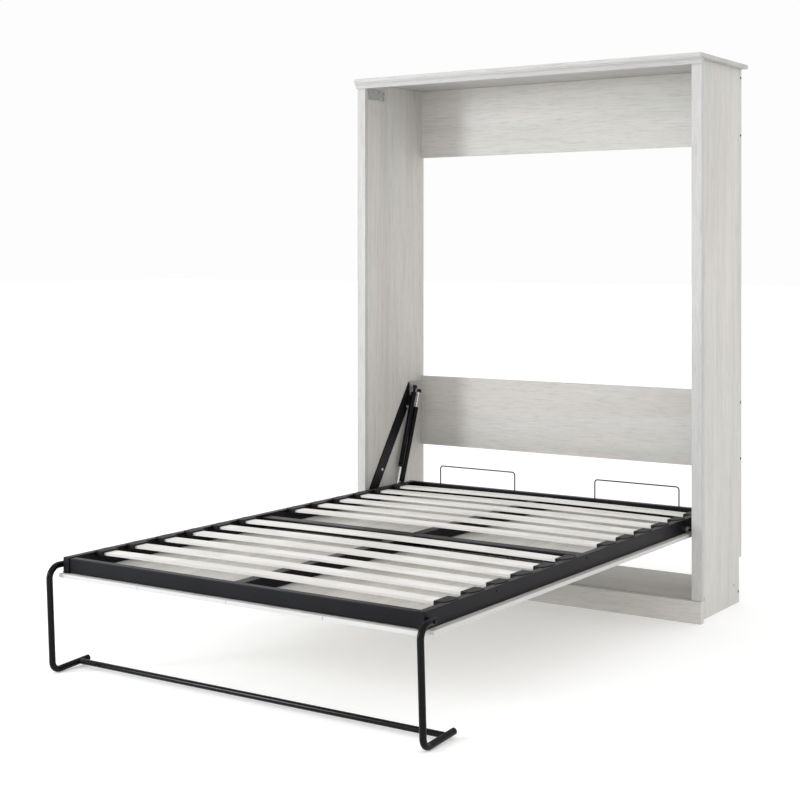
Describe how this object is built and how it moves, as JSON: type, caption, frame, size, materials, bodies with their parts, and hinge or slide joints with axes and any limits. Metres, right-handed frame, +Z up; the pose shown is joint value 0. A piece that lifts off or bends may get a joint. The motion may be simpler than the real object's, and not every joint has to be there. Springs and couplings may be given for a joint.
{
  "type": "murphy wall bed",
  "caption": "Fold-down wall bed shown opened: open-backed cabinet, slatted steel bed frame on side pivots with gas struts, and a U-shaped foot leg.",
  "frame": {"origin": "on the floor, under the middle of the opened bed and cabinet", "axes": "+X to the right seen from the foot of the bed, +Y from the foot to the wall, +Z up"},
  "size_m": [1.536, 2.085, 2.0306],
  "materials": {
    "white_wood": "white-washed laminate with fine grain, satin",
    "slat_wood": "pale birch slats, matt",
    "black_steel": "black powder coat, satin",
    "black_plastic": "moulded black plastic, matt",
    "zinc_steel": "zinc plated",
    "chrome_steel": "polished rod"
  },
  "bodies": {
    "cabinet": {"back_rail_lower": "white_wood", "back_rail_upper": "white_wood", "base_shelf": "white_wood", "catch_plate": "zinc_steel", "crown_board": "white_wood", "crown_moulding": "white_wood", "front_stile_left": "white_wood", "front_stile_right": "white_wood", "pivot_plate_left": "black_steel", "pivot_plate_right": "black_steel", "plinth": "white_wood", "side_panel_left": "white_wood", "side_panel_right": "white_wood", "strut_bracket_left": "zinc_steel", "strut_bracket_right": "zinc_steel"},
    "bed_frame": {"centre_rail_foot": "black_steel", "centre_rail_head": "black_steel", "foot_rail": "black_steel", "front_board_1": "white_wood", "front_board_2": "white_wood", "front_board_3": "white_wood", "front_board_4": "white_wood", "head_rail": "black_steel", "leg_bolt_left": "black_steel", "leg_bolt_right": "black_steel", "mattress_hoop_left": "black_steel", "mattress_hoop_right": "black_steel", "mid_cross_rail": "black_steel", "pivot_bush_left": "zinc_steel", "pivot_bush_right": "zinc_steel", "side_rail_left": "black_steel", "side_rail_right": "black_steel", "slat_01": "slat_wood", "slat_02": "slat_wood", "slat_03": "slat_wood", "slat_04": "slat_wood", "slat_05": "slat_wood", "slat_06": "slat_wood", "slat_07": "slat_wood", "slat_08": "slat_wood", "slat_09": "slat_wood", "slat_10": "slat_wood", "slat_11": "slat_wood", "slat_12": "slat_wood", "slat_holders_left": "black_plastic", "slat_holders_right": "black_plastic", "strut_stud_plate_left": "zinc_steel", "strut_stud_plate_right": "zinc_steel"},
    "leg_frame": {"leg_crossbar": "black_steel", "leg_left": "black_steel", "leg_right": "black_steel"},
    "strut_cylinder_a_left": {"strut_cylinder_a_left": "black_steel"},
    "strut_cylinder_a_right": {"strut_cylinder_a_right": "black_steel"},
    "strut_cylinder_b_left": {"strut_cylinder_b_left": "black_steel"},
    "strut_cylinder_b_right": {"strut_cylinder_b_right": "black_steel"},
    "strut_rod_a_left": {"strut_rod_a_left": "chrome_steel"},
    "strut_rod_a_right": {"strut_rod_a_right": "chrome_steel"},
    "strut_rod_b_left": {"strut_rod_b_left": "chrome_steel"},
    "strut_rod_b_right": {"strut_rod_b_right": "chrome_steel"}
  },
  "joints": [
    {"name": "bed_fold", "type": "hinge", "parent": "cabinet", "child": "bed_frame", "pos_m": [0, 0.66, 0.325], "axis": [-1, 0, 0], "range_deg": [0, 90]},
    {"name": "leg_swing", "type": "hinge", "parent": "bed_frame", "child": "leg_frame", "pos_m": [0, -0.977, 0.337], "axis": [1, 0, 0], "range_deg": [0, 64.5]},
    {"name": "strut_a_tilt_left", "type": "hinge", "parent": "cabinet", "child": "strut_cylinder_a_left", "pos_m": [-0.704, 0.947, 0.753], "axis": [-1, 0, 0], "range_deg": [0, 5]},
    {"name": "strut_a_slide_left", "type": "slide", "parent": "strut_cylinder_a_left", "child": "strut_rod_a_left", "axis": [0, -0.3044, -0.9525], "range_m": [0, 0.2236]},
    {"name": "strut_b_tilt_left", "type": "hinge", "parent": "cabinet", "child": "strut_rod_b_left", "pos_m": [-0.704, 0.977, 0.733], "axis": [-1, 0, 0], "range_deg": [0, 4.55]},
    {"name": "strut_b_slide_left", "type": "slide", "parent": "strut_rod_b_left", "child": "strut_cylinder_b_left", "axis": [0, -0.3206, -0.9472], "range_m": [0, 0.2628]},
    {"name": "strut_a_tilt_right", "type": "hinge", "parent": "cabinet", "child": "strut_cylinder_a_right", "pos_m": [0.704, 0.947, 0.753], "axis": [-1, 0, 0], "range_deg": [0, 5]},
    {"name": "strut_a_slide_right", "type": "slide", "parent": "strut_cylinder_a_right", "child": "strut_rod_a_right", "axis": [0, -0.3044, -0.9525], "range_m": [0, 0.2236]},
    {"name": "strut_b_tilt_right", "type": "hinge", "parent": "cabinet", "child": "strut_rod_b_right", "pos_m": [0.704, 0.977, 0.733], "axis": [-1, 0, 0], "range_deg": [0, 4.55]},
    {"name": "strut_b_slide_right", "type": "slide", "parent": "strut_rod_b_right", "child": "strut_cylinder_b_right", "axis": [0, -0.3206, -0.9472], "range_m": [0, 0.2628]}
  ],
  "couplings": [
    {"joint": "leg_swing", "follows": "bed_fold", "ratio": 0.715},
    {"joint": "strut_a_tilt_left", "follows": "bed_fold", "ratio": 0.055},
    {"joint": "strut_a_slide_left", "follows": "bed_fold", "m_per_rad": 0.142},
    {"joint": "strut_b_tilt_left", "follows": "bed_fold", "ratio": 0.05},
    {"joint": "strut_b_slide_left", "follows": "bed_fold", "m_per_rad": 0.167},
    {"joint": "strut_a_tilt_right", "follows": "bed_fold", "ratio": 0.055},
    {"joint": "strut_a_slide_right", "follows": "bed_fold", "m_per_rad": 0.142},
    {"joint": "strut_b_tilt_right", "follows": "bed_fold", "ratio": 0.05},
    {"joint": "strut_b_slide_right", "follows": "bed_fold", "m_per_rad": 0.167}
  ]
}
